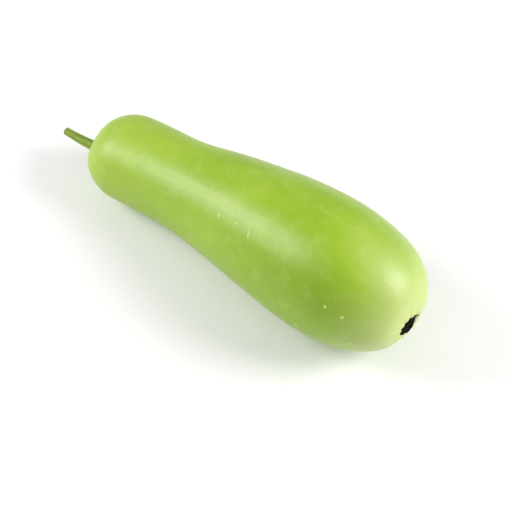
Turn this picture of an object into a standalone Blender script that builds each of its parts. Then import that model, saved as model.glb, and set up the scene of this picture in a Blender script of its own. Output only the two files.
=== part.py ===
# A bottle gourd, lying on its side as picked: the grown fruit, its cut stem, and the withered
# flower in the pit at its far end. Metres, +Z up. The fruit lies along X, with the stem towards
# -X and the blossom end towards +X, and rests on the floor at Z = 0 on its neck and its belly.

import math

import bmesh
import bpy
from mathutils import Vector

OBJECT_NAME = "bottle_gourd"

# Fruit. Stations run along the spine, from 0 at the stem end to 1 at the blossom end.
FRUIT_LENGTH = 0.285
NECK_RADIUS = 0.0330
BELLY_RADIUS = 0.0492
SWELL_START = 0.100
SWELL_END = 0.812
SHOULDER_SPAN = 0.115
SHOULDER_POWER = 2.31
NOSE_SPAN = 0.274
NOSE_POWER = 2.28
SIDE_BOW = 0.0085
TIP_HOOK = 0.0023
NECK_END_SHIFT = (0.0014, 0.0011)
NECK_END_SPAN = 0.2
FRUIT_SEGMENTS = 52
FRUIT_RINGS = 52

# Rest. The skin is pressed flat by this much where the neck and the belly meet the floor.
REST_DEPTH = 0.0005
NECK_LIMIT = 0.35
BELLY_LIMIT = 0.5
STATION_STEPS = 1000
LEVELLING_ROUNDS = 8
CUTTER_THICKNESS = 0.01

# Stem, with its shallow seat in the shoulder. Offsets are (sideways, upwards) from the spine.
STEM_LENGTH = 0.0315
STEM_BASE_RADIUS = 0.0037
STEM_CUT_RADIUS = 0.0027
STEM_FLARE = 0.0007
STEM_FLARE_SPAN = 0.15
STEM_RISE = 0.0029
STEM_RIBS = 5
STEM_RIB_HEIGHT = 0.06
STEM_SECTION_POINTS = 20
STEM_PATH_POINTS = 13
STEM_SEAT_OFFSET = (-0.0030, -0.0038)
STEM_SEAT_DEPTH = 0.0010
STEM_SEAT_FLOOR = 0.0050
STEM_SEAT_RIM = 0.0115

# Withered flower, with the pit that it sits in.
FLOWER_RADIUS = 0.0060
FLOWER_HEIGHT = 0.0026
FLOWER_LOBES = 5
FLOWER_LOBE_DEPTH = 0.11
FLOWER_CURL = 0.0007
FLOWER_SEGMENTS = 30
FLOWER_RINGS = 10
PIT_OFFSET = (0.0026, -0.0078)
PIT_DEPTH = 0.0030
PIT_FLOOR = 0.0070
PIT_RIM = 0.0098
TIP_FLATTENING = 0.0029
TIP_FLAT_REACH = 0.0264

# Pieces that touch are modelled this far apart.
CLEARANCE = 0.0003

# Station step over which the spine's direction is taken, and the distance of doubled points.
DIRECTION_STEP = 0.0001
WELD_DISTANCE = 0.00001

# Finishes, and the least angle between faces that shows as an edge.
SKIN_GREEN = (0.30, 0.46, 0.030)
SKIN_ROUGHNESS = 0.44
SKIN_EDGE_ANGLE = math.radians(60)
STEM_GREEN = (0.22, 0.32, 0.040)
STEM_ROUGHNESS = 0.65
STEM_EDGE_ANGLE = math.radians(50)
WITHERED_BLACK = (0.012, 0.010, 0.009)
WITHERED_ROUGHNESS = 0.85


def clamp(value):
    return min(max(value, 0.0), 1.0)


def smooth(value):
    value = clamp(value)
    return value * value * (3.0 - 2.0 * value)


def smoother(value):
    value = clamp(value)
    return value ** 3 * (value * (6.0 * value - 15.0) + 10.0)


def superellipse(reach, power):
    """Height of a rounded end: 0 at its pole, where reach is 1, and 1 where reach is 0."""
    return max(1.0 - clamp(reach) ** power, 0.0) ** (1.0 / power)


def fruit_radius(station):
    swell = smoother((station - SWELL_START) / (SWELL_END - SWELL_START))
    body = NECK_RADIUS + (BELLY_RADIUS - NECK_RADIUS) * swell
    shoulder = superellipse(1.0 - station / SHOULDER_SPAN, SHOULDER_POWER)
    nose = superellipse(1.0 - (1.0 - station) / NOSE_SPAN, NOSE_POWER)
    return body * shoulder * nose


def neck_end_share(station):
    """Share of the neck end's sideways and upward shift that a station takes."""
    return clamp(1.0 - station / NECK_END_SPAN) ** 2


def resting_line():
    """The spine's slope and its height at station 0, with neck and belly both on the floor."""
    stations = [step / STATION_STEPS for step in range(1, STATION_STEPS)]
    slope = 0.0
    for _ in range(LEVELLING_ROUNDS):
        tilt = 1.0 / math.hypot(1.0, slope)

        def hang(station):
            """How far the skin reaches below the spine's straight line."""
            return fruit_radius(station) * tilt - NECK_END_SHIFT[1] * neck_end_share(station)

        def height_needed(station):
            return hang(station) - slope * station * FRUIT_LENGTH

        neck = max((s for s in stations if s < NECK_LIMIT), key=height_needed)
        belly = max((s for s in stations if s > BELLY_LIMIT), key=height_needed)
        slope = (hang(belly) - hang(neck)) / ((belly - neck) * FRUIT_LENGTH)
    return slope, height_needed(neck) - REST_DEPTH


SPINE_SLOPE, SPINE_START_HEIGHT = resting_line()


def spine_point(station):
    along = station * FRUIT_LENGTH
    sideways = SIDE_BOW * (1.0 - (2.0 * station - 1.0) ** 2) - TIP_HOOK * station ** 3
    height = SPINE_START_HEIGHT + SPINE_SLOPE * along
    share = neck_end_share(station)
    return Vector((along, sideways + NECK_END_SHIFT[0] * share, height + NECK_END_SHIFT[1] * share))


def spine_frame(station):
    """Centre, forward, sideways and upward directions of the cross-section at a station."""
    ahead = spine_point(station + DIRECTION_STEP)
    behind = spine_point(station - DIRECTION_STEP)
    forward = (ahead - behind).normalized()
    sideways = Vector((0.0, 0.0, 1.0)).cross(forward).normalized()
    return spine_point(station), forward, sideways, forward.cross(sideways)


def seat_depth(across, up, offset, depth, floor, rim):
    """How far a round seat sinks the skin at a point of the end's cross-section."""
    reach = math.hypot(across - offset[0], up - offset[1])
    return depth * (1.0 - smooth((reach - floor) / (rim - floor)))


def tip_flattening(across, up):
    """How far the blunt blossom end is pressed in around its pit."""
    reach = math.hypot(across - PIT_OFFSET[0], up - PIT_OFFSET[1])
    return TIP_FLATTENING * clamp(1.0 - (reach / TIP_FLAT_REACH) ** 2) ** 2


def skin_point(station, angle):
    centre, forward, sideways, upward = spine_frame(station)
    across = fruit_radius(station) * math.cos(angle)
    up = fruit_radius(station) * math.sin(angle)
    if station < 0.5:
        sunk = seat_depth(across, up, STEM_SEAT_OFFSET, STEM_SEAT_DEPTH, STEM_SEAT_FLOOR, STEM_SEAT_RIM)
    else:
        pit = seat_depth(across, up, PIT_OFFSET, PIT_DEPTH, PIT_FLOOR, PIT_RIM)
        sunk = -pit - tip_flattening(across, up)
    return centre + sideways * across + upward * up + forward * sunk


def ring_station(height):
    """Station of a sphere's ring at this height, from -1 to 1, with more rings near the poles."""
    fraction = math.acos(max(-1.0, min(1.0, -height))) / math.pi
    return (1.0 - math.cos(math.pi * smooth(fraction))) / 2.0


def make_material(name, colour, roughness):
    material = bpy.data.materials.new(name)
    material.use_nodes = True
    shader = material.node_tree.nodes["Principled BSDF"]
    shader.inputs["Base Color"].default_value = (*colour, 1.0)
    shader.inputs["Roughness"].default_value = roughness
    shader.inputs["Metallic"].default_value = 0.0
    material.diffuse_color = (*colour, 1.0)
    return material


def add_object(name, mesh, collection, material=None, parent=None):
    made = bpy.data.objects.new(name, mesh)
    collection.objects.link(made)
    made.parent = parent
    if material:
        mesh.materials.append(material)
    return made


def mesh_from(bm, name):
    bmesh.ops.recalc_face_normals(bm, faces=bm.faces)
    mesh = bpy.data.meshes.new(name)
    bm.to_mesh(mesh)
    bm.free()
    mesh.shade_smooth()
    return mesh


def make_fruit(collection, cutters, root):
    bm = bmesh.new()
    bmesh.ops.create_uvsphere(bm, u_segments=FRUIT_SEGMENTS, v_segments=FRUIT_RINGS, radius=1.0)
    for vert in bm.verts:
        vert.co = skin_point(ring_station(vert.co.z), math.atan2(vert.co.y, vert.co.x))
    material = make_material("gourd_skin", SKIN_GREEN, SKIN_ROUGHNESS)
    fruit = add_object("fruit", mesh_from(bm, "fruit"), collection, material, root)
    fruit.data.set_sharp_from_angle(angle=SKIN_EDGE_ANGLE)

    floor_cutter = make_floor_cutter(cutters, root)
    cut = fruit.modifiers.new("rest_flats", "BOOLEAN")
    cut.operation = "DIFFERENCE"
    cut.solver = "EXACT"
    cut.object = floor_cutter
    return fruit


def make_floor_cutter(collection, root):
    """A slab whose top is the floor, so that it shaves the rest flats off the skin."""
    bm = bmesh.new()
    bmesh.ops.create_cube(bm, size=1.0)
    for vert in bm.verts:
        vert.co.x *= 2.0 * FRUIT_LENGTH
        vert.co.y *= FRUIT_LENGTH
        vert.co.z *= CUTTER_THICKNESS
    slab = add_object("floor_cutter", mesh_from(bm, "floor_cutter"), collection, parent=root)
    slab.location = (FRUIT_LENGTH / 2.0, 0.0, -CUTTER_THICKNESS / 2.0)
    slab.hide_render = True
    slab.display_type = "WIRE"
    return slab


def seat_centre(station, offset, sunk):
    """A point over a seat's middle, sunk into the skin, and the seat's own directions."""
    centre, forward, sideways, upward = spine_frame(station)
    point = centre + sideways * offset[0] + upward * offset[1] + forward * sunk
    return point, forward, sideways, upward


def stem_point(fraction):
    """Middle of the stem, from its seat at 0 to its cut end at 1; it curls up as it goes."""
    start, forward, _, upward = seat_centre(0.0, STEM_SEAT_OFFSET, STEM_SEAT_DEPTH - CLEARANCE)
    return start - forward * STEM_LENGTH * fraction + upward * STEM_RISE * fraction ** 2


def stem_radius(fraction):
    taper = STEM_BASE_RADIUS + (STEM_CUT_RADIUS - STEM_BASE_RADIUS) * fraction
    return taper + STEM_FLARE * math.exp(-fraction / STEM_FLARE_SPAN)


def make_stem_section(collection):
    """Closed outline of unit radius with soft ribs, swept along the stem."""
    curve = bpy.data.curves.new("stem_section", "CURVE")
    curve.dimensions = "2D"
    spline = curve.splines.new("POLY")
    spline.points.add(STEM_SECTION_POINTS - 1)
    spline.use_cyclic_u = True
    for index, point in enumerate(spline.points):
        angle = math.tau * index / STEM_SECTION_POINTS
        reach = 1.0 + STEM_RIB_HEIGHT * math.cos(STEM_RIBS * angle)
        point.co = (reach * math.cos(angle), reach * math.sin(angle), 0.0, 1.0)
    section = add_object("stem_section", curve, collection)
    section.hide_render = True
    return section


def make_stem(collection, cutters, root):
    curve = bpy.data.curves.new("stem_path", "CURVE")
    curve.dimensions = "3D"
    curve.bevel_mode = "OBJECT"
    curve.bevel_object = make_stem_section(cutters)
    curve.use_fill_caps = True
    spline = curve.splines.new("POLY")
    spline.points.add(STEM_PATH_POINTS - 1)
    for index, point in enumerate(spline.points):
        fraction = index / (STEM_PATH_POINTS - 1)
        point.co = (*stem_point(fraction), 1.0)
        point.radius = stem_radius(fraction)
    path = add_object("stem_path", curve, collection)

    depsgraph = bpy.context.evaluated_depsgraph_get()
    swept = bpy.data.meshes.new_from_object(path.evaluated_get(depsgraph))
    bpy.data.objects.remove(path)
    bm = bmesh.new()
    bm.from_mesh(swept)
    bmesh.ops.remove_doubles(bm, verts=bm.verts, dist=WELD_DISTANCE)
    material = make_material("stem_rind", STEM_GREEN, STEM_ROUGHNESS)
    stem = add_object("stem", mesh_from(bm, "stem"), collection, material, root)
    stem.data.set_sharp_from_angle(angle=STEM_EDGE_ANGLE)
    return stem


def make_flower(collection, root):
    """The withered flower: a lobed, puckered button with its edges curled outwards."""
    start, forward, sideways, upward = seat_centre(1.0, PIT_OFFSET, CLEARANCE - PIT_DEPTH - TIP_FLATTENING)
    bm = bmesh.new()
    bmesh.ops.create_uvsphere(bm, u_segments=FLOWER_SEGMENTS, v_segments=FLOWER_RINGS, radius=1.0)
    for vert in bm.verts:
        angle = math.atan2(vert.co.y, vert.co.x)
        reach = math.hypot(vert.co.x, vert.co.y)
        lobes = 1.0 + FLOWER_LOBE_DEPTH * math.cos(FLOWER_LOBES * angle) * reach
        height = FLOWER_HEIGHT * (vert.co.z + 1.0) / 2.0 + FLOWER_CURL * reach ** 2
        spread = FLOWER_RADIUS * reach * lobes
        across = sideways * spread * math.cos(angle) + upward * spread * math.sin(angle)
        vert.co = start + across + forward * height
    material = make_material("withered_flower", WITHERED_BLACK, WITHERED_ROUGHNESS)
    return add_object("dried_blossom", mesh_from(bm, "dried_blossom"), collection, material, root)


def world_corners(objects):
    """Lowest and highest corner of the finished shapes together."""
    bpy.context.view_layer.update()
    depsgraph = bpy.context.evaluated_depsgraph_get()
    points = []
    for made in objects:
        shaped = made.evaluated_get(depsgraph)
        points += [shaped.matrix_world @ vert.co for vert in shaped.data.vertices]
    low = Vector([min(point[axis] for point in points) for axis in range(3)])
    high = Vector([max(point[axis] for point in points) for axis in range(3)])
    return low, high


def main():
    for old in list(bpy.data.objects):
        bpy.data.objects.remove(old)
    parts = bpy.data.collections.new(OBJECT_NAME)
    cutters = bpy.data.collections.new("cutters")
    bpy.context.scene.collection.children.link(parts)
    bpy.context.scene.collection.children.link(cutters)

    root = add_object("gourd_root", None, parts)
    made = [make_fruit(parts, cutters, root), make_stem(parts, cutters, root), make_flower(parts, root)]

    # The middle of the whole object's footprint becomes the origin.
    low, high = world_corners(made)
    root.location = (-(low.x + high.x) / 2.0, -(low.y + high.y) / 2.0, 0.0)


main()
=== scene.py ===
import math
import random

import bmesh
import bpy
from mathutils import Matrix, Quaternion, Vector
from mathutils.bvhtree import BVHTree


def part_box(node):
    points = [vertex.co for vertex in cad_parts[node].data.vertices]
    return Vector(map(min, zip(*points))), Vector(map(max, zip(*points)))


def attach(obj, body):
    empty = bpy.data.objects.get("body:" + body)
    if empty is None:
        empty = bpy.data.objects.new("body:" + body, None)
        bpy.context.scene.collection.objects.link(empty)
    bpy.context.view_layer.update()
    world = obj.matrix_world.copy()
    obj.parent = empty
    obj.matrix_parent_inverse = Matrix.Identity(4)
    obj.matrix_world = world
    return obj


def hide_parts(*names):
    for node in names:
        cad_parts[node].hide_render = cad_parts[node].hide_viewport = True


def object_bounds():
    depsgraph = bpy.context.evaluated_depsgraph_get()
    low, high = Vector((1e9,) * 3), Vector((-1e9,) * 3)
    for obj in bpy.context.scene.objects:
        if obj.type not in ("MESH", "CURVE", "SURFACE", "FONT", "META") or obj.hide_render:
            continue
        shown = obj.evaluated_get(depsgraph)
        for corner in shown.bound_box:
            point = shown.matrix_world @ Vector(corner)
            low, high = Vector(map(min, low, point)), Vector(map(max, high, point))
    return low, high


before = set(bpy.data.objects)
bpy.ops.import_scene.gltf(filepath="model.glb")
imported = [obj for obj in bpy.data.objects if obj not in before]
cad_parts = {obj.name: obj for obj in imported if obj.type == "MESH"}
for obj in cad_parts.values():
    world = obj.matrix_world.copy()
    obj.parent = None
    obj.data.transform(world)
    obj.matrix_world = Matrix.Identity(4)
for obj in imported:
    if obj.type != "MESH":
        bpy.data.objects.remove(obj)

cadLow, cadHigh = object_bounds()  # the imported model's box, before any piece is added


def namedSocket(sockets, name):
    return next(socket for socket in sockets if socket.name == name and socket.enabled)


def feed(tree, socket, value):
    if isinstance(value, bpy.types.NodeSocket):
        tree.links.new(value, socket)
    else:
        socket.default_value = value


def addNode(tree, kind, settings=None, inputs=None):
    node = tree.nodes.new(kind)
    for name, value in (settings or {}).items():
        setattr(node, name, value)
    for name, value in (inputs or {}).items():
        feed(tree, namedSocket(node.inputs, name), value)
    return node


class Sums:
    # arithmetic for one tree; a value is a number or a socket
    def __init__(self, tree):
        self.tree = tree

    def __call__(self, operation, *values):
        node = addNode(self.tree, "ShaderNodeMath", {"operation": operation})
        for socket, value in zip(node.inputs, values):
            feed(self.tree, socket, value)
        return node.outputs[0]

    def vector(self, operation, *values):
        node = addNode(self.tree, "ShaderNodeVectorMath", {"operation": operation})
        takes = [socket for socket in node.inputs if socket.enabled]
        for socket, value in zip(takes, values):
            feed(self.tree, socket, value)
        return next(socket for socket in node.outputs if socket.enabled)

    def add(self, first, *others):
        for other in others:
            first = self("ADD", first, other)
        return first

    def times(self, first, *others):
        for other in others:
            first = self("MULTIPLY", first, other)
        return first

    def less(self, first, second):
        return self("SUBTRACT", first, second)

    def over(self, first, second):
        return self("DIVIDE", first, second)

    def clamp(self, value):
        return self("MINIMUM", self("MAXIMUM", value, 0.0), 1.0)

    def smooth(self, value):
        value = self.clamp(value)
        return self.times(value, value, self.less(3.0, self.times(value, 2.0)))

    def smoother(self, value):
        value = self.clamp(value)
        inner = self.add(self.times(value, self.less(self.times(value, 6.0), 15.0)), 10.0)
        return self.times(self("POWER", value, 3.0), inner)

    def fadeOut(self, value, start, end):
        # 1 up to start, 0 from end on
        return self.less(1.0, self.smooth(self.over(self.less(value, start), self.less(end, start))))

    def mix(self, first, second, share):
        return self.add(self.times(first, self.less(1.0, share)), self.times(second, share))

    def length(self, first, second):
        return self("SQRT", self.add(self.times(first, first), self.times(second, second)))

    def bell(self, value, centre, width):
        away = self.over(self.less(value, centre), width)
        return self("EXPONENT", self.times(away, away, -1.0))

    def superellipse(self, reach, power):
        left = self.less(1.0, self("POWER", self.clamp(reach), power))
        return self("POWER", self("MAXIMUM", left, 0.0), self.over(1.0, power))

    def join(self, x, y, z):
        return addNode(self.tree, "ShaderNodeCombineXYZ", inputs={"X": x, "Y": y, "Z": z}).outputs[0]

    def split(self, vector):
        return addNode(self.tree, "ShaderNodeSeparateXYZ", inputs={"Vector": vector}).outputs

    def scaled(self, vector, factor):
        node = addNode(self.tree, "ShaderNodeVectorMath", {"operation": "SCALE"})
        feed(self.tree, node.inputs[0], vector)
        feed(self.tree, namedSocket(node.inputs, "Scale"), factor)
        return node.outputs[0]

    def total(self, first, *others):
        for other in others:
            first = self.vector("ADD", first, other)
        return first

    def noise(self, place, scale, detail=2.0, roughness=0.5, shift=0.0):
        # 4D, so that shift picks another pattern
        settings = {"noise_dimensions": "4D"}
        inputs = {"Vector": place, "W": shift, "Scale": scale, "Detail": detail, "Roughness": roughness}
        return addNode(self.tree, "ShaderNodeTexNoise", settings, inputs).outputs[0]


def startShape(name, sizes, counts):
    # a Geometry Nodes tree with its inputs; returns the tree, its input sockets by name, and its Sums
    tree = bpy.data.node_groups.new(name, "GeometryNodeTree")
    tree.interface.new_socket("Geometry", in_out="INPUT", socket_type="NodeSocketGeometry")
    for label, value in sizes.items():
        socket = tree.interface.new_socket(label, in_out="INPUT", socket_type="NodeSocketFloat")
        socket.default_value = value
    for label, value in counts.items():
        socket = tree.interface.new_socket(label, in_out="INPUT", socket_type="NodeSocketInt")
        socket.default_value = value
    tree.interface.new_socket("Finish", in_out="INPUT", socket_type="NodeSocketMaterial")
    tree.interface.new_socket("Geometry", in_out="OUTPUT", socket_type="NodeSocketGeometry")
    given = {socket.name: socket for socket in tree.nodes.new("NodeGroupInput").outputs}
    return tree, given, Sums(tree)


def endShape(tree, given, geometry):
    smooth = addNode(tree, "GeometryNodeSetShadeSmooth", inputs={"Geometry": geometry})
    real = addNode(tree, "GeometryNodeRealizeInstances", inputs={"Geometry": smooth.outputs[0]})
    finished = addNode(tree, "GeometryNodeSetMaterial",
                       inputs={"Geometry": real.outputs[0], "Material": given["Finish"]})
    tree.links.new(finished.outputs[0], tree.nodes.new("NodeGroupOutput").inputs[0])


def growShape(name, tree, values, material, start=None, place=None):
    # runs a tree once and keeps the result as a plain mesh
    carrier = bpy.data.objects.new(name + "_carrier", start or bpy.data.meshes.new(name + "_start"))
    bpy.context.scene.collection.objects.link(carrier)
    modifier = carrier.modifiers.new("grow", "NODES")
    modifier.node_group = tree
    values = {**values, "Finish": material}
    for socket in tree.interface.items_tree:
        if socket.in_out == "INPUT" and socket.name in values:
            modifier[socket.identifier] = values[socket.name]
    depsgraph = bpy.context.evaluated_depsgraph_get()
    mesh = bpy.data.meshes.new_from_object(carrier.evaluated_get(depsgraph))
    bpy.data.objects.remove(carrier)
    mesh.name = name
    if place:
        mesh.transform(place)
    return keepPiece(name, mesh, material)


def keepPiece(name, mesh, material):
    mesh.materials.clear()
    mesh.materials.append(material)
    mesh.shade_smooth()
    piece = bpy.data.objects.new(name, mesh)
    bpy.context.scene.collection.objects.link(piece)
    return piece


def setPosition(tree, geometry, position=None, offset=None):
    inputs = {"Geometry": geometry}
    if position is not None:
        inputs["Position"] = position
    if offset is not None:
        inputs["Offset"] = offset
    return addNode(tree, "GeometryNodeSetPosition", inputs=inputs).outputs[0]


def storeField(tree, geometry, name, value, kind="FLOAT"):
    inputs = {"Geometry": geometry, "Name": name, "Value": value}
    settings = {"data_type": kind, "domain": "POINT"}
    return addNode(tree, "GeometryNodeStoreNamedAttribute", settings, inputs).outputs[0]


def readField(tree, name, kind="FLOAT"):
    node = addNode(tree, "GeometryNodeInputNamedAttribute", {"data_type": kind}, {"Name": name})
    return namedSocket(node.outputs, "Attribute")


def pointPlace(tree):
    return addNode(tree, "GeometryNodeInputPosition").outputs[0]


def pushOut(tree, sums, geometry, amount):
    # moves each point along its own normal
    normal = addNode(tree, "GeometryNodeInputNormal").outputs[0]
    return setPosition(tree, geometry, offset=sums.scaled(normal, amount))


def unitSphere(tree, given):
    inputs = {"Segments": given["Segments"], "Rings": given["Rings"], "Radius": 1.0}
    return addNode(tree, "GeometryNodeMeshUVSphere", inputs=inputs).outputs["Mesh"]


def ballSphere(tree, given, sums):
    # a sphere, the share of the way from its lower pole to its upper one, and its direction
    sphere = unitSphere(tree, given)
    x, y, z = sums.split(pointPlace(tree))
    fraction = sums.over(sums("ARCCOSINE", sums.times(z, -1.0)), math.pi)
    nearZero = 1e-6            # keeps the poles out of a division by nothing
    reach = sums("MAXIMUM", sums.length(x, y), nearZero)
    return sphere, fraction, sums.over(x, reach), sums.over(y, reach)


# Sizes are in metres. Stations run along the fruit's spine, 0 at the stem end and 1 at the tip.
gourd = {
    "Fruit Length": 0.285,
    "Neck Radius": 0.0330,
    "Belly Radius": 0.0492,
    "Swell Start": 0.100,
    "Swell End": 0.812,
    "Shoulder Span": 0.115,
    "Shoulder Power": 2.31,
    "Nose Span": 0.274,
    "Nose Power": 2.28,
    "Side Bow": 0.0085,
    "Tip Hook": 0.0023,
    "Neck End Side": 0.0014,
    "Neck End Lift": 0.0011,
    "Neck End Span": 0.2,
    "Seat Side": -0.0030,      # where the stem grows out of the shoulder
    "Seat Up": -0.0038,
    "Seat Depth": 0.0010,
    "Seat Floor": 0.0050,
    "Seat Rim": 0.0115,
    "Pit Side": 0.0026,        # where the flower sat
    "Pit Up": -0.0078,
    "Pit Depth": 0.0030,
    "Pit Floor": 0.0070,
    "Pit Rim": 0.0098,
    "Tip Flattening": 0.0029,
    "Tip Flat Reach": 0.0264,
}
restDepth = 0.0005             # how far the skin is pressed flat on the floor
levelling = {                  # how the spine's tilt on the floor is found
    "stationSteps": 1000,
    "rounds": 8,
    "neckBefore": 0.35,        # the neck touches the floor before this station
    "bellyAfter": 0.5,         # and the belly after this one
}


def fruitRadius(station):
    def rounded(reach, power):
        return max(1.0 - min(max(reach, 0.0), 1.0) ** power, 0.0) ** (1.0 / power)

    rise = (station - gourd["Swell Start"]) / (gourd["Swell End"] - gourd["Swell Start"])
    rise = min(max(rise, 0.0), 1.0)
    swell = rise ** 3 * (rise * (6.0 * rise - 15.0) + 10.0)
    body = gourd["Neck Radius"] + (gourd["Belly Radius"] - gourd["Neck Radius"]) * swell
    shoulder = rounded(1.0 - station / gourd["Shoulder Span"], gourd["Shoulder Power"])
    nose = rounded(1.0 - (1.0 - station) / gourd["Nose Span"], gourd["Nose Power"])
    return body * shoulder * nose


def neckEndShare(station):
    return max(1.0 - station / gourd["Neck End Span"], 0.0) ** 2


def restingLine():
    # slope and start height of the spine when the neck and the belly both touch the floor
    steps = levelling["stationSteps"]
    stations = [step / steps for step in range(1, steps)]
    slope = 0.0
    for _ in range(levelling["rounds"]):
        tilt = 1.0 / math.hypot(1.0, slope)

        def hang(station):
            return fruitRadius(station) * tilt - gourd["Neck End Lift"] * neckEndShare(station)

        def heightNeeded(station):
            return hang(station) - slope * station * gourd["Fruit Length"]

        neck = max((s for s in stations if s < levelling["neckBefore"]), key=heightNeeded)
        belly = max((s for s in stations if s > levelling["bellyAfter"]), key=heightNeeded)
        slope = (hang(belly) - hang(neck)) / ((belly - neck) * gourd["Fruit Length"])
    return slope, heightNeeded(neck) - restDepth


spineSlope, spineStart = restingLine()


def spinePoint(station):
    along = station * gourd["Fruit Length"]
    share = neckEndShare(station)
    bow = gourd["Side Bow"] * (1.0 - (2.0 * station - 1.0) ** 2)
    sideways = bow - gourd["Tip Hook"] * station ** 3 + gourd["Neck End Side"] * share
    return Vector((along, sideways, spineStart + spineSlope * along + gourd["Neck End Lift"] * share))


def spineFrame(station):
    step = 0.0001
    forward = (spinePoint(station + step) - spinePoint(station - step)).normalized()
    sideways = Vector((0.0, 0.0, 1.0)).cross(forward).normalized()
    return spinePoint(station), forward, sideways, forward.cross(sideways)


def frameMatrix(origin, xWay, yWay, zWay):
    turn = Matrix((xWay, yWay, zWay)).transposed().to_4x4()
    return Matrix.Translation(origin) @ turn


def newMaterial(name, fixed):
    # fixed values sit on the shader's own sockets
    material = bpy.data.materials.new(name)
    material.use_nodes = True
    tree = material.node_tree
    shader = tree.nodes["Principled BSDF"]
    for label, value in fixed.items():
        shader.inputs[label].default_value = value
    return material, tree, shader, Sums(tree)


def colourMix(tree, first, second, share):
    node = addNode(tree, "ShaderNodeMix", {"data_type": "RGBA"})
    colours = [socket for socket in node.inputs if socket.enabled]
    feed(tree, colours[0], share)
    for socket, colour in zip(colours[1:], (first, second)):
        feed(tree, socket, colour if isinstance(colour, bpy.types.NodeSocket) else (*colour, 1.0))
    return namedSocket(node.outputs, "Result")


def ramp(sums, value, low, high):
    # rises from 0 at low to 1 at high
    return sums.smooth(sums.over(sums.less(value, low), high - low))


def makeMottleGroup():
    # soft patches with finer ones in them, as plant skins have; Patches runs from 0 to 1
    group = bpy.data.node_groups.new("growthMottle", "ShaderNodeTree")
    group.interface.new_socket("Place", in_out="INPUT", socket_type="NodeSocketVector")
    usual = {"Coarse Scale": 30.0, "Fine Scale": 160.0, "Fine Share": 0.3, "Contrast": 1.5}
    for label, value in usual.items():
        socket = group.interface.new_socket(label, in_out="INPUT", socket_type="NodeSocketFloat")
        socket.default_value = value
    group.interface.new_socket("Patches", in_out="OUTPUT", socket_type="NodeSocketFloat")
    group.interface.new_socket("Grain", in_out="OUTPUT", socket_type="NodeSocketFloat")
    given = {socket.name: socket for socket in group.nodes.new("NodeGroupInput").outputs}
    sums = Sums(group)
    coarse = sums.noise(given["Place"], given["Coarse Scale"], detail=3.0)
    fine = sums.noise(given["Place"], given["Fine Scale"], detail=4.0, roughness=0.6, shift=3.7)
    blended = sums.mix(coarse, fine, given["Fine Share"])
    spread = sums.add(sums.times(sums.less(blended, 0.5), given["Contrast"]), 0.5)
    ends = group.nodes.new("NodeGroupOutput")
    group.links.new(sums.clamp(spread), ends.inputs["Patches"])
    group.links.new(fine, ends.inputs["Grain"])
    return group


mottleGroup = makeMottleGroup()


def mottle(tree, place, coarse, fine, share, contrast):
    # soft patches and their grain at a place; a piece's dictionary holds the other four in this order
    node = addNode(tree, "ShaderNodeGroup", {"node_tree": mottleGroup})
    values = {"Place": place, "Coarse Scale": coarse, "Fine Scale": fine, "Fine Share": share,
              "Contrast": contrast}
    for label, value in values.items():
        feed(tree, node.inputs[label], value)
    return node.outputs["Patches"], node.outputs["Grain"]


def bump(tree, height, strength, distance):
    inputs = {"Height": height, "Strength": strength, "Distance": distance}
    return addNode(tree, "ShaderNodeBump", inputs=inputs).outputs["Normal"]


def grainRoughness(sums, grain, least, more):
    return sums.add(least, sums.times(grain, more))


def joinUp(tree, shader, colour, roughness, normal):
    for label, value in (("Base Color", colour), ("Roughness", roughness), ("Normal", normal)):
        tree.links.new(value, shader.inputs[label])


def attribute(tree, name, output="Fac"):
    return addNode(tree, "ShaderNodeAttribute", {"attribute_name": name}).outputs[output]


def objectPlace(tree):
    return addNode(tree, "ShaderNodeTexCoord").outputs["Object"]


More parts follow.
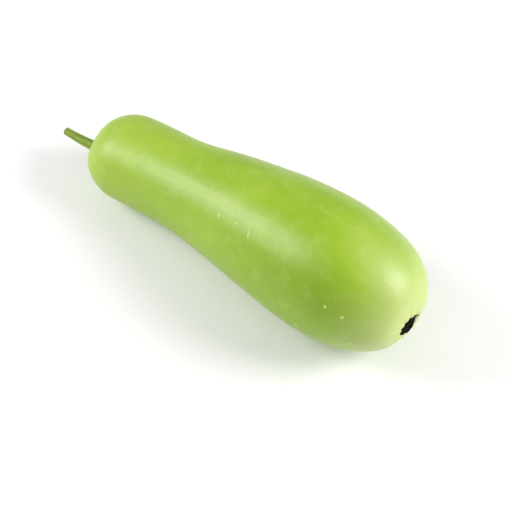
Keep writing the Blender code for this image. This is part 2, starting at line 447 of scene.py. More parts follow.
skin = {
    "colours": {
        "leafGreen": (0.325, 0.495, 0.020),
        # the deep green is also the painted shade in the patches
        "deepAndShadeGreen": (0.215, 0.360, 0.006),
        "neckGreen": (0.328, 0.470, 0.048),
        # the tip's own paler green, partly painted highlight
        "tipGreenAndHighlight": (0.530, 0.615, 0.225),
        "rimCream": (0.740, 0.760, 0.400),
        "speckGreen": (0.450, 0.600, 0.110),
        # the bloom green is also the painted highlight in the patches
        "bloomAndHighlightGreen": (0.430, 0.560, 0.130),
        "collarGreen": (0.300, 0.420, 0.030),
    },
    "gloss": {                 # the same all over the skin
        "Metallic": 0.0,
        "IOR": 1.46,
        "Specular IOR Level": 0.25,
        "Coat Weight": 0.55,
        "Coat Roughness": 0.40,
        "Subsurface Weight": 0.06,
        "Subsurface Scale": 0.004,
    },
    # mottles are coarse scale, fine scale, fine share and contrast; ranges are where a ramp starts and ends
    "growthMottle": (22.0, 120.0, 0.25, 2.0),
    "streakStretch": (1.1, 5.0, 5.0),
    "streakMottle": (1.0, 4.0, 0.35, 2.2),
    "streakShare": 0.4,
    "neckRange": (0.05, 0.55),
    "neckShare": 0.6,
    "patchEvenness": (0.6, 0.8),
    "bloomMottle": (75.0, 230.0, 0.4, 3.2),
    "bloomRange": (0.45, 1.0),
    "bloomShare": 0.22,
    "collarRange": (0.004, 0.011),  # darker green round the stem
    "collarWander": 0.003,
    "collarShare": 0.7,
    "tipRange": (0.014, 0.076),     # paler green round the pit: partly the tip's own paler colour, partly painted highlight
    "tipWander": 0.012,
    "tipShare": 0.9,
    "poreScale": 420.0,
    "poreRange": (0.10, 0.24),
    "poreShare": 0.45,
    "rimRange": (0.0086, 0.0106),
    "roughness": 0.44,
    "bloomRoughness": 0.10,         # how much each adds
    "rimRoughness": 0.15,
    "neckRoughness": 0.10,
    "dullNeckRange": (0.10, 0.48),
    "waxScale": 700.0,
    "waxShares": (0.5, -0.8, 0.6),  # wax, pores and grain in the bump
    "waxBump": (0.18, 0.0003),
    # painted shade (darker) and painted highlight (paler) patches: station, angle in degrees (0 the +Y
    # side, 90 the top), reach on the skin, and how much darker (below 0) or paler (above 0)
    "patches": [
        (0.853, 147.0, 0.55, -0.75),
        (0.740, 178.0, 0.80, -0.60),
        (0.700, 150.0, 0.40, -0.30),
        (0.560, 165.0, 0.60, -0.30),
        (0.330, 141.0, 0.28, -0.35),
        (0.250, 182.0, 0.60, -0.35),
        (0.692, 125.0, 0.22, 0.35),
        (0.610, 122.0, 0.22, 0.30),
        (0.500, 122.0, 0.30, 0.25),
        (0.905, 92.0, 0.55, 0.55),
    ],
    "surface": {
        "Flow Length": 6.0,        # makes a step along the spine as long as one round the belly
        "Crowding": 0.5,           # how far the rings draw together at both ends
        "Lump Height": 0.0011,     # broad soft dents
        "Lump Scale": 26.0,
        "Dimple Height": 0.00020,  # small dents that break up the shine
        "Dimple Scale": 110.0,
        "Ridge Height": 0.00035,   # faint ridges that run lengthwise
        "Ridge Scale": 1.7,
        "Pucker Height": 0.00028,  # creases that run out from the pit
        "Pucker Count": 13.0,
        "Pucker Wander": 6.0,
        "Pucker Reach": 0.022,
        "Lip Height": 0.0004,      # the pit's raised rim
        "Lip Width": 0.0024,
        "Swelling Reach": 0.42,
        "Pattern Seed": 4.2,
    },
    "swellings": {             # and dips: station, angle in radians and height
        "Cheek": (0.915, 0.35, 0.0013),
        "Heel": (0.020, 2.90, 0.0011),
        "Waist": (0.285, 0.63, -0.00125),
        "Nape": (0.150, 0.63, 0.0008),
        "Hip": (0.840, 0.75, -0.0008),
    },
    "ridgeStretch": (0.18, 2.4, 2.4),
    "grid": {"Segments": 288, "Rings": 320},
}


def makeSkinMaterial():
    material, tree, shader, sums = newMaterial("gourd_skin", skin["gloss"])
    colours = skin["colours"]
    place = objectPlace(tree)
    flow = attribute(tree, "skinFlow", "Vector")
    station = attribute(tree, "station")
    pitReach = attribute(tree, "pitReach")
    seatReach = attribute(tree, "seatReach")

    patches, grain = mottle(tree, place, *skin["growthMottle"])

    def fading(value, rangeName, wander=0.0):
        # 1 up to the range's start, 0 past its end; the growth patches can make its edge uneven
        if wander:
            value = sums.add(value, sums.times(patches, wander))
        return sums.less(1.0, ramp(sums, value, *skin[rangeName]))

    stretched = sums.vector("MULTIPLY", flow, skin["streakStretch"])
    streaks, _ = mottle(tree, stretched, *skin["streakMottle"])
    body = colourMix(tree, colours["deepAndShadeGreen"], colours["leafGreen"],
                     sums.mix(patches, streaks, skin["streakShare"]))
    neck = sums.times(fading(station, "neckRange"), skin["neckShare"])
    body = colourMix(tree, body, colours["neckGreen"], neck)

    # painted shade and painted highlight: the patches darken the skin towards the deep green and pale it
    # towards the bloom green
    paintedShadeAndHighlight = 0.0
    for centreStation, angle, reach, amount in skin["patches"]:
        way = math.radians(angle)
        centre = (centreStation * skin["surface"]["Flow Length"], math.cos(way), math.sin(way))
        away = sums.over(sums.vector("DISTANCE", flow, centre), reach)
        paintedShadeAndHighlight = sums.add(paintedShadeAndHighlight, sums.times(sums("EXPONENT", sums.times(away, away, -1.0)), amount))
    least, more = skin["patchEvenness"]
    uneven = sums.add(least, sums.times(patches, more))
    # painted shade first, then painted highlight
    body = colourMix(tree, body, colours["deepAndShadeGreen"], sums.clamp(sums.times(paintedShadeAndHighlight, uneven, -1.0)))
    body = colourMix(tree, body, colours["bloomAndHighlightGreen"], sums.clamp(sums.times(paintedShadeAndHighlight, uneven)))

    bloom, _ = mottle(tree, place, *skin["bloomMottle"])
    bloomShare = sums.times(ramp(sums, bloom, *skin["bloomRange"]), skin["bloomShare"])
    body = colourMix(tree, body, colours["bloomAndHighlightGreen"], bloomShare)
    collar = fading(seatReach, "collarRange", skin["collarWander"])
    body = colourMix(tree, body, colours["collarGreen"], sums.times(collar, skin["collarShare"]))
    # paler towards the pit: partly the tip's own colour, partly painted highlight
    pale = fading(pitReach, "tipRange", skin["tipWander"])
    body = colourMix(tree, body, colours["tipGreenAndHighlight"], sums.times(pale, skin["tipShare"]))

    # small pale pores all over
    pores = addNode(tree, "ShaderNodeTexVoronoi", {"feature": "F1"},
                    {"Vector": place, "Scale": skin["poreScale"], "Randomness": 1.0}).outputs["Distance"]
    poreShare = sums.times(fading(pores, "poreRange"), grain, skin["poreShare"])
    body = colourMix(tree, body, colours["speckGreen"], poreShare)

    rim = fading(pitReach, "rimRange")
    body = colourMix(tree, body, colours["rimCream"], rim)

    dullNeck = fading(station, "dullNeckRange")
    roughness = sums.add(skin["roughness"], sums.times(sums.less(bloom, 0.5), skin["bloomRoughness"]),
                         sums.times(rim, skin["rimRoughness"]), sums.times(dullNeck, skin["neckRoughness"]))
    wax = sums.noise(place, skin["waxScale"], detail=3.0)
    height = sums.add(*(sums.times(value, share)
                        for value, share in zip((wax, poreShare, grain), skin["waxShares"])))
    joinUp(tree, shader, body, roughness, bump(tree, height, *skin["waxBump"]))
    return material


swellingSizes = {name + label: value for name, values in skin["swellings"].items()
                 for label, value in zip((" Place", " Angle", " Height"), values)}
skinSizes = {**gourd, "Spine Slope": spineSlope, "Spine Start": spineStart, **skin["surface"],
             **swellingSizes}


def makeSkinTree():
    tree, given, sums = startShape("gourdSkin", skinSizes, skin["grid"])
    mesh, fraction, cosine, sine = ballSphere(tree, given, sums)

    # rings crowd towards both ends, where the skin turns fastest
    crowded = sums.mix(fraction, sums.smooth(fraction), given["Crowding"])
    station = sums.times(sums.less(1.0, sums("COSINE", sums.times(crowded, math.pi))), 0.5)

    swellSpan = sums.less(given["Swell End"], given["Swell Start"])
    swell = sums.smoother(sums.over(sums.less(station, given["Swell Start"]), swellSpan))
    body = sums.mix(given["Neck Radius"], given["Belly Radius"], swell)
    shoulder = sums.superellipse(sums.less(1.0, sums.over(station, given["Shoulder Span"])),
                                 given["Shoulder Power"])
    toTip = sums.less(1.0, station)
    nose = sums.superellipse(sums.less(1.0, sums.over(toTip, given["Nose Span"])), given["Nose Power"])
    radius = sums.times(body, shoulder, nose)
    across = sums.times(radius, cosine)
    up = sums.times(radius, sine)

    # spine and its directions
    along = sums.times(station, given["Fruit Length"])
    neckReach = sums("MAXIMUM", sums.less(1.0, sums.over(station, given["Neck End Span"])), 0.0)
    share = sums.times(neckReach, neckReach)
    shareSlope = sums.over(sums.times(neckReach, -2.0), given["Neck End Span"])
    middle = sums.less(sums.times(station, 2.0), 1.0)
    bow = sums.times(given["Side Bow"], sums.less(1.0, sums.times(middle, middle)))
    hook = sums.times(given["Tip Hook"], sums("POWER", station, 3.0))
    sideways = sums.add(sums.less(bow, hook), sums.times(given["Neck End Side"], share))
    height = sums.add(given["Spine Start"], sums.times(given["Spine Slope"], along),
                      sums.times(given["Neck End Lift"], share))
    sideSlope = sums.add(sums.times(given["Side Bow"], middle, -4.0),
                         sums.times(given["Tip Hook"], station, station, -3.0),
                         sums.times(given["Neck End Side"], shareSlope))
    heightSlope = sums.add(sums.times(given["Spine Slope"], given["Fruit Length"]),
                           sums.times(given["Neck End Lift"], shareSlope))
    forward = sums.vector("NORMALIZE", sums.join(given["Fruit Length"], sideSlope, heightSlope))
    sideWay = sums.vector("NORMALIZE", sums.vector("CROSS_PRODUCT", (0.0, 0.0, 1.0), forward))
    upWay = sums.vector("CROSS_PRODUCT", forward, sideWay)

    def distanceFrom(sideName, upName):
        return sums.length(sums.less(across, given[sideName]), sums.less(up, given[upName]))

    # the seat and the pit sink the ends inwards along the spine
    tipHalf = sums("GREATER_THAN", station, 0.5)
    seatDistance = distanceFrom("Seat Side", "Seat Up")
    pitDistance = distanceFrom("Pit Side", "Pit Up")
    inSeat = sums.fadeOut(seatDistance, given["Seat Floor"], given["Seat Rim"])
    seat = sums.times(given["Seat Depth"], inSeat)
    pit = sums.times(given["Pit Depth"], sums.fadeOut(pitDistance, given["Pit Floor"], given["Pit Rim"]))
    flatShare = sums.over(pitDistance, given["Tip Flat Reach"])
    flatShare = sums.clamp(sums.less(1.0, sums.times(flatShare, flatShare)))
    flattening = sums.times(given["Tip Flattening"], flatShare, flatShare)
    sunk = sums.mix(seat, sums.times(sums.add(pit, flattening), -1.0), tipHalf)

    mesh = storeField(tree, mesh, "station", station)
    toEnd = sums.less(given["Fruit Length"], along)
    mesh = storeField(tree, mesh, "pitReach", sums.length(pitDistance, toEnd))
    mesh = storeField(tree, mesh, "seatReach", sums.length(seatDistance, along))
    pitAngle = sums("ARCTAN2", sums.less(up, given["Pit Up"]), sums.less(across, given["Pit Side"]))
    mesh = storeField(tree, mesh, "pitAngle", pitAngle)
    flow = sums.join(sums.times(station, given["Flow Length"]), cosine, sine)
    mesh = storeField(tree, mesh, "skinFlow", flow, "FLOAT_VECTOR")
    spine = sums.join(along, sideways, height)
    outer = sums.total(spine, sums.scaled(sideWay, across), sums.scaled(upWay, up),
                       sums.scaled(forward, sunk))
    mesh = setPosition(tree, mesh, position=outer)

    # growth marks push the skin along its own normal
    place = pointPlace(tree)
    pitReach = readField(tree, "pitReach")
    flow = readField(tree, "skinFlow", "FLOAT_VECTOR")
    lumps = sums.less(sums.noise(place, given["Lump Scale"], 1.0, 0.4, given["Pattern Seed"]), 0.5)
    dimples = sums.less(sums.noise(place, given["Dimple Scale"], 1.5, 0.5, given["Pattern Seed"]), 0.5)
    stretched = sums.vector("MULTIPLY", flow, skin["ridgeStretch"])
    ridges = sums.less(sums.noise(stretched, given["Ridge Scale"], 2.0, 0.5, given["Pattern Seed"]), 0.5)
    puckerAngle = sums.add(sums.times(readField(tree, "pitAngle"), given["Pucker Count"]),
                           sums.times(lumps, given["Pucker Wander"]))
    puckers = sums.times(sums("COSINE", puckerAngle), given["Pucker Height"],
                         sums.fadeOut(pitReach, given["Pit Rim"], given["Pucker Reach"]),
                         sums.smooth(sums.over(pitReach, given["Pit Rim"])))
    lipMiddle = sums.add(given["Pit Rim"], given["Lip Width"])
    lip = sums.times(given["Lip Height"], sums.bell(pitReach, lipMiddle, given["Lip Width"]))
    swellings = []
    for name in skin["swellings"]:
        middle = sums.join(sums.times(given[name + " Place"], given["Flow Length"]),
                           sums("COSINE", given[name + " Angle"]), sums("SINE", given[name + " Angle"]))
        swelling = sums.bell(sums.vector("DISTANCE", flow, middle), 0.0, given["Swelling Reach"])
        swellings.append(sums.times(swelling, given[name + " Height"]))
    raised = sums.add(sums.times(lumps, given["Lump Height"]), sums.times(ridges, given["Ridge Height"]),
                      *swellings, sums.times(dimples, given["Dimple Height"]), puckers, lip)
    mesh = pushOut(tree, sums, mesh, raised)

    # nothing reaches below the floor: the skin is pressed flat there
    x, y, z = sums.split(pointPlace(tree))
    mesh = setPosition(tree, mesh, position=sums.join(x, y, sums("MAXIMUM", z, 0.0)))
    endShape(tree, given, mesh)
    return tree


def cornersOf(mesh):
    low = Vector([min(vert.co[axis] for vert in mesh.vertices) for axis in range(3)])
    high = Vector([max(vert.co[axis] for vert in mesh.vertices) for axis in range(3)])
    return low, high


skinMaterial = makeSkinMaterial()
fruit = growShape("gourd_fruit", makeSkinTree(), {**skinSizes, **skin["grid"]}, skinMaterial)

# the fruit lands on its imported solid, and everything on it takes the same shift
fruitLow, fruitHigh = cornersOf(fruit.data)
nodeLow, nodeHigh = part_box("fruit")
gourdShift = (nodeLow + nodeHigh - fruitLow - fruitHigh) / 2
gourdShift.z = 0.0
fruit.data.transform(Matrix.Translation(gourdShift))
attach(fruit, "root")
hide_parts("fruit")
print("fruit grown:", len(fruit.data.polygons), "faces")
skinTree = BVHTree.FromPolygons([vert.co for vert in fruit.data.vertices],
                                [face.vertices for face in fruit.data.polygons])


skinMarks = {
    # station and angle as for the patches, length and width in metres, turn in degrees off lengthwise
    "scars": [
        (0.486, 120.5, 0.0034, 0.0018, 112.0),
        (0.488, 135.0, 0.0048, 0.0015, 102.0),
        (0.525, 127.0, 0.0058, 0.0013, 98.0),
        (0.525, 119.0, 0.0040, 0.0009, 100.0),
        (0.504, 125.5, 0.0048, 0.0009, 114.0),
        (0.457, 130.5, 0.0040, 0.0009, 107.0),
        (0.447, 137.0, 0.0034, 0.0009, 106.0),
        (0.595, 135.5, 0.0060, 0.0015, 103.0),
        (0.589, 127.0, 0.0084, 0.0011, 111.0),
        (0.587, 131.0, 0.0044, 0.0010, 144.0),
    ],
    "dots": [                  # station, angle and width
        (0.548, 132.5, 0.0021),
        (0.860, 153.5, 0.0024),
        (0.904, 156.5, 0.0024),
        (0.787, 189.5, 0.0024),
        (0.926, 190.5, 0.0026),
        (0.645, 40.0, 0.0018),
        (0.380, 215.0, 0.0016),
        (0.760, 262.0, 0.0022),
        (0.300, 62.0, 0.0015),
    ],
    "relief": 0.00024,         # how high a mark stands
    "scurfCount": 110,         # tiny pale grains all over
    "scurfSize": (0.0003, 0.0006),
    "scurfStations": (0.05, 0.95),
    "scurfAngles": (-60.0, 240.0),
    "scurfSeed": 23,
    "dome": {"Dome Radius": 1.0},  # each mark is a low dome
    "domeGrid": {"Segments": 14, "Rings": 8},
    "pale": (0.560, 0.690, 0.260),
    "dull": (0.410, 0.560, 0.120),
    "gloss": {"Metallic": 0.0, "IOR": 1.45},
    "mottle": (300.0, 1400.0, 0.4, 2.0),
    "roughness": (0.45, 0.25),     # least, and how much the grain adds
    "bump": (0.3, 0.0001),
}


def spotOnSkin(station, angle):
    # the skin's point and outward way at a station and an angle round the spine
    centre, forward, sideways, upward = spineFrame(station)
    way = math.radians(angle)
    outward = sideways * math.cos(way) + upward * math.sin(way)
    spot, normal, _, _ = skinTree.ray_cast(centre + gourdShift, outward)
    return spot, normal, forward


def placeMarks():
    # one point for each mark, with its size and directions
    rows = list(skinMarks["scars"])
    rows += [(station, angle, width, width, 0.0) for station, angle, width in skinMarks["dots"]]
    draw = random.Random(skinMarks["scurfSeed"])
    for _ in range(skinMarks["scurfCount"]):
        size = draw.uniform(*skinMarks["scurfSize"])
        station = draw.uniform(*skinMarks["scurfStations"])
        rows.append((station, draw.uniform(*skinMarks["scurfAngles"]), size, size, 0.0))
    spots, outward, lengthwise, sizes = [], [], [], []
    for station, angle, length, width, turn in rows:
        spot, normal, forward = spotOnSkin(station, angle)
        along = (forward - normal * forward.dot(normal)).normalized()
        along.rotate(Quaternion(normal, math.radians(turn)))
        spots.append(spot)
        outward.append(normal)
        lengthwise.append(along)
        sizes.append(Vector((length / 2, width / 2, min(skinMarks["relief"], width / 3))))
    mesh = bpy.data.meshes.new("mark_places")
    mesh.from_pydata(spots, [], [])
    for name, vectors in (("outward", outward), ("lengthwise", lengthwise), ("markSize", sizes)):
        field = mesh.attributes.new(name, "FLOAT_VECTOR", "POINT")
        field.data.foreach_set("vector", [value for vector in vectors for value in vector])
    return mesh


def makeMarksTree():
    # a low dome on each point, turned and sized by the point's own fields
    tree, given, sums = startShape("skinMarks", skinMarks["dome"], skinMarks["domeGrid"])
    dome = addNode(tree, "GeometryNodeMeshUVSphere",
                   inputs={"Segments": given["Segments"], "Rings": given["Rings"],
                           "Radius": given["Dome Radius"]})
    height = sums.split(pointPlace(tree))["Z"]
    shape = storeField(tree, dome.outputs["Mesh"], "domeHeight", height)
    turned = addNode(tree, "FunctionNodeAxesToRotation", {"primary_axis": "Z", "secondary_axis": "X"})
    tree.links.new(readField(tree, "outward", "FLOAT_VECTOR"), turned.inputs[0])
    tree.links.new(readField(tree, "lengthwise", "FLOAT_VECTOR"), turned.inputs[1])
    domes = addNode(tree, "GeometryNodeInstanceOnPoints",
                    inputs={"Points": given["Geometry"], "Instance": shape, "Rotation": turned.outputs[0],
                            "Scale": readField(tree, "markSize", "FLOAT_VECTOR")})
    endShape(tree, given, domes.outputs[0])
    return tree


def makeMarkMaterial():
    material, tree, shader, sums = newMaterial("skin_scar", skinMarks["gloss"])
    patches, grain = mottle(tree, objectPlace(tree), *skinMarks["mottle"])
    joinUp(tree, shader, colourMix(tree, skinMarks["dull"], skinMarks["pale"], patches),
           grainRoughness(sums, grain, *skinMarks["roughness"]), bump(tree, grain, *skinMarks["bump"]))
    return material


def layOnSkin(mesh, reliefField):
    # each point comes down to the skin and keeps only its own height over it
    heights = [0.0] * len(mesh.vertices)
    mesh.attributes[reliefField].data.foreach_get("value", heights)
    for vert, height in zip(mesh.vertices, heights):
        spot, normal, _, _ = skinTree.find_nearest(vert.co)
        vert.co = spot + normal * height * skinMarks["relief"]


markMaterial = makeMarkMaterial()
marks = growShape("gourd_skin_marks", makeMarksTree(), {**skinMarks["dome"], **skinMarks["domeGrid"]},
                  markMaterial, start=placeMarks())
layOnSkin(marks.data, "domeHeight")
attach(marks, "root")
print("marks set:", len(marks.data.polygons), "faces")


stalk = {
    "sizes": {
        "Length": 0.0333,
        "Base Radius": 0.0040,
        "Cut Radius": 0.0029,
        "Foot Flare": 0.0012,
        "Foot Span": 0.09,
        "Foot Lift": 0.0008,
        "Sag": 0.0034,
        "Rise": 0.0046,
        "Rib Count": 5.0,
        "Rib Height": 0.07,
        "Rib Twist": 0.5,
        "Fibre Count": 31.0,
        "Fibre Height": 0.022,
        "Fibre Wander": 9.0,
        "Wander Scale": 1.6,
        "Wander Stretch": 1.5,
        "Wobble": 0.0004,          # small knots in the rind
        "Wobble Scale": 160.0,
        "Cut Rounding": 0.7,
        "Cut Hollow": 0.0005,
        "Cut Slant": 0.0006,
        "Slant Power": 20.0,       # keeps the slant to the last few millimetres
        "Side Start": 0.06,        # the sphere's share below is the foot, above Side End the cut face
        "Side End": 0.86,
        "Flow Length": 0.6,
        "Pattern Seed": 9.1,
    },
    "grid": {"Segments": 124, "Rings": 130},
    "rindGreen": (0.180, 0.270, 0.020),
    "paleRib": (0.310, 0.410, 0.060),
    "furrowBrown": (0.060, 0.085, 0.012),
    "cutCream": (0.560, 0.600, 0.270),
    "cutBrown": (0.190, 0.160, 0.060),
    "gloss": {"Metallic": 0.0, "IOR": 1.45, "Subsurface Weight": 0.03, "Subsurface Scale": 0.002},
    "streakStretch": (3.0, 3.0, 1.0),
    "streakMottle": (2.0, 9.0, 0.4, 2.0),
    "paleShares": (0.22, 0.6, -0.05),  # ribs, streaks, and a step down
    "furrowRange": (0.6, 1.8),
    "furrowShare": 0.6,
    "dryRange": (0.93, 1.0),       # the rind browns beside the cut
    "dryShare": 0.6,
    "cutRange": (0.02, 0.10),      # from rind to cut face
    "creamRange": (0.10, 0.30),
    "cutGrainShare": 0.3,
    "roughness": (0.55, 0.25),
    "streakBump": 0.5,
    "bump": (0.35, 0.0002),
}


def makeStemTree():
    # the stalk stands on Z in its own frame: from its foot at 0 to its cut end
    tree, given, sums = startShape("stalk", stalk["sizes"], stalk["grid"])
    mesh, fraction, cosine, sine = ballSphere(tree, given, sums)
    sideSpan = sums.less(given["Side End"], given["Side Start"])
    along = sums.clamp(sums.over(sums.less(fraction, given["Side Start"]), sideSpan))
    footReach = sums.clamp(sums.over(fraction, given["Side Start"]))
    cutReach = sums.clamp(sums.over(sums.less(1.0, fraction), sums.less(1.0, given["Side End"])))
    reach = sums.times(sums("SQRT", footReach), sums("POWER", cutReach, given["Cut Rounding"]))
    angle = sums.add(sums("ARCTAN2", sine, cosine), sums.times(along, given["Rib Twist"]))

    ribs = sums.times(sums("COSINE", sums.times(angle, given["Rib Count"])), given["Rib Height"])
    wanderPlace = sums.join(cosine, sine, sums.times(along, given["Wander Stretch"]))
    wander = sums.times(sums.noise(wanderPlace, given["Wander Scale"], shift=given["Pattern Seed"]),
                        given["Fibre Wander"])
    fibres = sums.times(sums("COSINE", sums.add(sums.times(angle, given["Fibre Count"]), wander)),
                        given["Fibre Height"])
    footFade = sums("EXPONENT", sums.over(sums.times(along, -1.0), given["Foot Span"]))
    foot = sums.times(given["Foot Flare"], footFade)
    taper = sums.add(sums.mix(given["Base Radius"], given["Cut Radius"], along), foot)
    radius = sums.times(taper, sums.add(1.0, ribs, fibres), reach)

    # the cut face dishes in and leans a little
    cutShare = sums.less(1.0, cutReach)
    dish = sums.times(given["Cut Hollow"], sums("SQRT", sums.clamp(cutShare)))
    onCut = sums("GREATER_THAN", fraction, given["Side End"])
    lean = sums.times(given["Cut Slant"], cosine, reach, sums("POWER", along, given["Slant Power"]))
    height = sums.add(sums.times(along, given["Length"]), sums.times(dish, onCut, -1.0), lean)
    rise = sums.add(given["Foot Lift"], sums.times(given["Rise"], along, along),
                    sums.times(given["Sag"], along, -1.0))
    place = sums.join(sums.times(radius, cosine), sums.add(sums.times(radius, sine), rise), height)

    mesh = storeField(tree, mesh, "stemAlong", along)
    mesh = storeField(tree, mesh, "cutShare", sums.times(cutShare, onCut))
    ribHeight = sums.add(sums.over(ribs, given["Rib Height"]), sums.over(fibres, given["Fibre Height"]))
    mesh = storeField(tree, mesh, "ribHeight", ribHeight)
    flow = sums.join(cosine, sine, sums.times(along, given["Flow Length"]))
    mesh = storeField(tree, mesh, "stemFlow", flow, "FLOAT_VECTOR")
    mesh = setPosition(tree, mesh, position=place)

    knots = sums.less(sums.noise(pointPlace(tree), given["Wobble Scale"], shift=given["Pattern Seed"]), 0.5)
    endShape(tree, given, pushOut(tree, sums, mesh, sums.times(knots, given["Wobble"])))
    return tree


def makeStemMaterial():
    material, tree, shader, sums = newMaterial("stem_rind", stalk["gloss"])
    flow = attribute(tree, "stemFlow", "Vector")
    ribs = attribute(tree, "ribHeight")
    along = attribute(tree, "stemAlong")
    cut = attribute(tree, "cutShare")
    stretched = sums.vector("MULTIPLY", flow, stalk["streakStretch"])
    streaks, grain = mottle(tree, stretched, *stalk["streakMottle"])
    ribShare, streakShare, step = stalk["paleShares"]
    pale = sums.clamp(sums.add(sums.times(ribs, ribShare), sums.times(streaks, streakShare), step))
    rind = colourMix(tree, stalk["rindGreen"], stalk["paleRib"], pale)
    furrow = sums.times(ramp(sums, sums.times(ribs, -1.0), *stalk["furrowRange"]), stalk["furrowShare"])
    rind = colourMix(tree, rind, stalk["furrowBrown"], furrow)
    dryEdge = sums.times(ramp(sums, along, *stalk["dryRange"]), stalk["dryShare"])
    rind = colourMix(tree, rind, stalk["cutBrown"], dryEdge)
    cream = sums.mix(ramp(sums, cut, *stalk["creamRange"]), grain, stalk["cutGrainShare"])
    cutFace = colourMix(tree, stalk["cutBrown"], stalk["cutCream"], cream)
    colour = colourMix(tree, rind, cutFace, ramp(sums, cut, *stalk["cutRange"]))
    height = sums.add(grain, sums.times(streaks, stalk["streakBump"]))
    joinUp(tree, shader, colour, grainRoughness(sums, grain, *stalk["roughness"]),
           bump(tree, height, *stalk["bump"]))
    return material


def endFrame(station, sideName, upName, sunk):
    # where a thing sits on an end of the fruit, and the spine's directions there
    centre, forward, sideways, upward = spineFrame(station)
    origin = centre + sideways * gourd[sideName] + upward * gourd[upName] + forward * sunk + gourdShift
    return origin, forward, sideways, upward


stemMaterial = makeStemMaterial()
seatOrigin, seatForward, seatSide, seatUp = endFrame(0.0, "Seat Side", "Seat Up", gourd["Seat Depth"])
stem = growShape("gourd_stem", makeStemTree(), {**stalk["sizes"], **stalk["grid"]}, stemMaterial,
                 place=frameMatrix(seatOrigin, -seatSide, seatUp, -seatForward))
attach(stem, "root")
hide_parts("stem")
print("stem grown:", len(stem.data.polygons), "faces")


witheredFlower = {
    "sizes": {
        "Pad Radius": 0.0078,
        "Pad Height": 0.0078,      # whole lens; its lower half is in the flesh
        "Pad Side": -0.0006,       # the flower's middle sits off the pit's
        "Pad Up": 0.0006,
        "Petal Length": 0.0082,
        "Petal Width": 0.0064,
        "Petal Thickness": 0.0022,
        "Petal Ring": 0.0050,
        "Flatness": 0.5,           # 1 a round lens, lower for a flatter top
        "Droop": 0.5,              # how much further its lower side sticks out
        "First Petal": 0.40,       # radians
        "Petal Step": 0.93,
        "Sepal Length": 0.0046,
        "Sepal Width": 0.0019,
        "Sepal Ring": 0.0036,
        "Sepal Lift": 0.0014,
        "Stub Radius": 0.0013,
        "Stub Height": 0.0030,
        "Crumple": 0.0012,
        "Crumple Scale": 380.0,
        "Pattern Seed": 2.6,
    },
    "counts": {"Petals": 5, "Sepals": 8, "Segments": 30, "Rings": 18, "Petal Seed": 11},
    "spreads": {                   # lowest, highest, and what is added to the seed
        "petalTurn": (-0.08, 0.08, 0.0),
        "petalRoll": (-0.1, 0.1, 2.0),
        "petalSize": (0.92, 1.04, 3.0),
        "sepalTurn": (-0.3, 0.3, 5.0),
        "sepalTip": (-0.35, 0.1, 6.0),
        "sepalRoll": (-0.5, 0.5, 7.0),
        "sepalSize": (0.75, 1.15, 8.0),
    },
    "deepest": -0.0003,            # how far the flower reaches into the flesh
    "char": (0.003, 0.002, 0.002),
    "dryBrown": (0.036, 0.024, 0.016),
    "brownShare": 0.5,
    "gloss": {"Metallic": 0.0, "IOR": 1.3, "Specular IOR Level": 0.15},
    "mottle": (350.0, 1500.0, 0.4, 2.5),
    "roughness": (0.75, 0.3),
    "bump": (0.6, 0.0002),
}


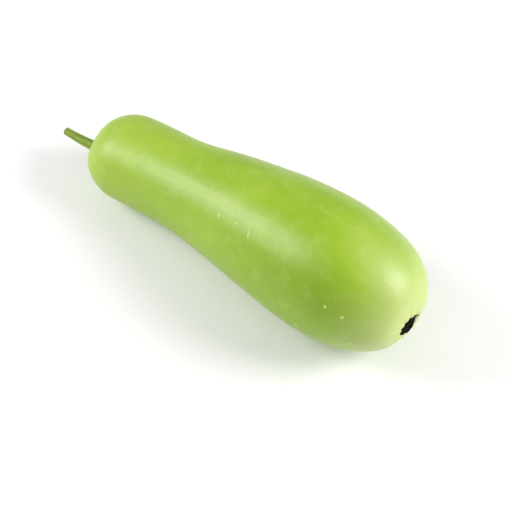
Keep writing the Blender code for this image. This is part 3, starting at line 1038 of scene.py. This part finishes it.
def makeFlowerTree():
    # drawn flat, Z pointing out of the pit; it is laid on the flesh afterwards
    tree, given, sums = startShape("witheredFlower", witheredFlower["sizes"], witheredFlower["counts"])
    index = addNode(tree, "GeometryNodeInputIndex").outputs[0]

    def lens(halfLength, halfWidth, halfThickness):
        x, y, z = sums.split(pointPlace(tree))
        flat = sums.times(sums("SIGN", z), sums("POWER", sums("ABSOLUTE", z), given["Flatness"]))
        sides = (sums.times(x, halfLength), sums.times(y, halfWidth), sums.times(flat, halfThickness))
        return setPosition(tree, unitSphere(tree, given), position=sums.join(*sides))

    def half(name):
        return sums.times(given[name], 0.5)

    def moved(geometry, x, y, z):
        return addNode(tree, "GeometryNodeTransform",
                       inputs={"Geometry": geometry, "Translation": sums.join(x, y, z)}).outputs[0]

    def drawn(name):
        low, high, offset = witheredFlower["spreads"][name]
        node = addNode(tree, "FunctionNodeRandomValue", {"data_type": "FLOAT"},
                       {"Min": low, "Max": high, "Seed": sums.add(given["Petal Seed"], offset)})
        return namedSocket(node.outputs, "Value")

    def ringOf(shape, count, radius, turn, tip, roll, size):
        # the shape lies along X; each copy points away from the middle
        ring = addNode(tree, "GeometryNodeMeshLine", {"mode": "OFFSET"},
                       {"Count": count, "Offset": (0.0, 0.0, 0.0)})
        reach = sums.times(radius, size)
        aside, above = sums.times(sums("COSINE", turn), reach), sums.times(sums("SINE", turn), reach)
        ring = setPosition(tree, ring.outputs[0], position=sums.join(aside, above, 0.0))
        return addNode(tree, "GeometryNodeInstanceOnPoints",
                       inputs={"Points": ring, "Instance": shape, "Rotation": sums.join(roll, tip, turn),
                               "Scale": sums.join(size, size, 1.0)}).outputs[0]

    pad = moved(lens(given["Pad Radius"], given["Pad Radius"], half("Pad Height")),
                given["Pad Side"], given["Pad Up"], 0.0)
    stub = moved(lens(given["Stub Radius"], given["Stub Radius"], half("Stub Height")),
                 given["Pad Side"], given["Pad Up"], half("Pad Height"))
    petal = lens(half("Petal Length"), half("Petal Width"), half("Petal Thickness"))
    petalTurn = sums.add(given["First Petal"], sums.times(index, given["Petal Step"]), drawn("petalTurn"))
    petals = ringOf(petal, given["Petals"], given["Petal Ring"], petalTurn, 0.0, drawn("petalRoll"),
                    drawn("petalSize"))
    sepal = lens(half("Sepal Length"), half("Sepal Width"), half("Petal Thickness"))
    sepalStep = sums.over(sums.times(index, given["Petal Step"], given["Petals"]), given["Sepals"])
    sepalTurn = sums.add(given["First Petal"], drawn("sepalTurn"), sepalStep)
    sepals = ringOf(sepal, given["Sepals"], given["Sepal Ring"], sepalTurn, drawn("sepalTip"),
                    drawn("sepalRoll"), drawn("sepalSize"))
    sepals = moved(sepals, 0.0, 0.0, given["Sepal Lift"])
    joined = addNode(tree, "GeometryNodeJoinGeometry")
    for part in (pad, stub, petals, sepals):
        tree.links.new(part, joined.inputs[0])
    real = addNode(tree, "GeometryNodeRealizeInstances", inputs={"Geometry": joined.outputs[0]})

    where = pointPlace(tree)
    creases = addNode(tree, "ShaderNodeTexNoise", {"noise_dimensions": "4D"},
                      {"Vector": where, "W": given["Pattern Seed"], "Scale": given["Crumple Scale"],
                       "Detail": 3.0, "Roughness": 0.6}).outputs[1]
    _, y, z = sums.split(where)
    lower = sums.smooth(sums.over(sums.times(y, -1.0), given["Pad Radius"]))
    thicker = sums.times(z, lower, given["Droop"])
    push = sums.scaled(sums.vector("SUBTRACT", creases, (0.5, 0.5, 0.5)), given["Crumple"])
    mesh = setPosition(tree, real.outputs[0], offset=sums.total(push, sums.join(0.0, 0.0, thicker)))
    endShape(tree, given, mesh)
    return tree


def makeFlowerMaterial():
    material, tree, shader, sums = newMaterial("withered_flower", witheredFlower["gloss"])
    patches, grain = mottle(tree, objectPlace(tree), *witheredFlower["mottle"])
    brown = sums.times(patches, patches, witheredFlower["brownShare"])
    colour = colourMix(tree, witheredFlower["char"], witheredFlower["dryBrown"], brown)
    joinUp(tree, shader, colour, grainRoughness(sums, grain, *witheredFlower["roughness"]),
           bump(tree, grain, *witheredFlower["bump"]))
    return material


flowerMaterial = makeFlowerMaterial()
pitOrigin, pitForward, pitSide, pitUp = endFrame(1.0, "Pit Side", "Pit Up", 0.0)
flowerValues = {**witheredFlower["sizes"], **witheredFlower["counts"]}
flower = growShape("gourd_dried_blossom", makeFlowerTree(), flowerValues, flowerMaterial)

# each point is set over the flesh below it, so the flower fills the pit as the pit is shaped
for vert in flower.data.vertices:
    above = pitOrigin + pitSide * vert.co.x + pitUp * vert.co.y + pitForward * gourd["Pit Rim"]
    flesh, _, _, _ = skinTree.ray_cast(above, -pitForward)
    vert.co = flesh + pitForward * max(vert.co.z, witheredFlower["deepest"])
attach(flower, "root")
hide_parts("dried_blossom")
print("withered flower grown:", len(flower.data.polygons), "faces")


studio = {
    "floorSize": 30.0,
    "floorGap": 0.0002,        # keeps the floor off the skin's resting flats
    "floorTone": (0.86, 0.86, 0.86),
    "floorRoughness": 0.9,
    "skyStrength": 0.47,
    "viewAzimuth": 39.05,      # 0 looks along +Y
    "viewElevation": 53.0,
    "viewDistance": 1.0,
    "aimRight": 0.0153,        # from the box's middle, as the camera sees it
    "aimUp": -0.0354,
    "lens": 98.9,
    # each lamp: azimuth, elevation, distance, width, height, watts
    "lamps": {
        "left_softbox": (-58.0, 32.0, 1.3, 0.60, 0.70, 14.0),
        "right_softbox": (118.0, 34.0, 1.2, 0.54, 0.58, 12.5),
    },
}


def wayFrom(azimuth, elevation):
    # from the object towards a place round it, angles in degrees
    a, e = math.radians(azimuth), math.radians(elevation)
    return Vector((math.sin(a) * math.cos(e), -math.cos(a) * math.cos(e), math.sin(e)))


def makeFloor():
    bm = bmesh.new()
    bmesh.ops.create_grid(bm, x_segments=1, y_segments=1, size=studio["floorSize"] / 2)
    mesh = bpy.data.meshes.new("studio_floor")
    bm.to_mesh(mesh)
    bm.free()
    plain = {"Roughness": studio["floorRoughness"], "Base Color": (*studio["floorTone"], 1.0)}
    material = newMaterial("studio_floor", plain)[0]
    floor = keepPiece("studio_floor", mesh, material)
    floor.location.z = cadLow.z - studio["floorGap"]


def makeLamp(name, azimuth, elevation, distance, width, height, watts):
    light = bpy.data.lights.new(name, "AREA")
    light.shape = "RECTANGLE"
    light.size = width
    light.size_y = height
    light.energy = watts
    lamp = bpy.data.objects.new(name, light)
    bpy.context.scene.collection.objects.link(lamp)
    middle = (cadLow + cadHigh) / 2
    lamp.location = middle + wayFrom(azimuth, elevation) * distance
    lamp.rotation_euler = (middle - lamp.location).to_track_quat("-Z", "Y").to_euler()


def makeSky():
    world = bpy.data.worlds.new("studio_sky")
    bpy.context.scene.world = world
    world.use_nodes = True
    sky = world.node_tree.nodes["Background"]
    sky.inputs["Color"].default_value = (1.0, 1.0, 1.0, 1.0)
    sky.inputs["Strength"].default_value = studio["skyStrength"]


def makeCamera():
    back = wayFrom(studio["viewAzimuth"], studio["viewElevation"])
    right = Vector((0.0, 0.0, 1.0)).cross(back).normalized()
    aim = (cadLow + cadHigh) / 2 + right * studio["aimRight"] + back.cross(right) * studio["aimUp"]
    camera = bpy.data.objects.new("studio_camera", bpy.data.cameras.new("studio_camera"))
    bpy.context.scene.collection.objects.link(camera)
    camera.data.lens = studio["lens"]
    camera.location = aim + back * studio["viewDistance"]
    camera.rotation_euler = (-back).to_track_quat("-Z", "Y").to_euler()
    bpy.context.scene.camera = camera


makeFloor()
for lampName, lampSizes in studio["lamps"].items():
    makeLamp(lampName, *lampSizes)
makeSky()
makeCamera()
bpy.context.scene.view_settings.view_transform = "Standard"
print("studio set")
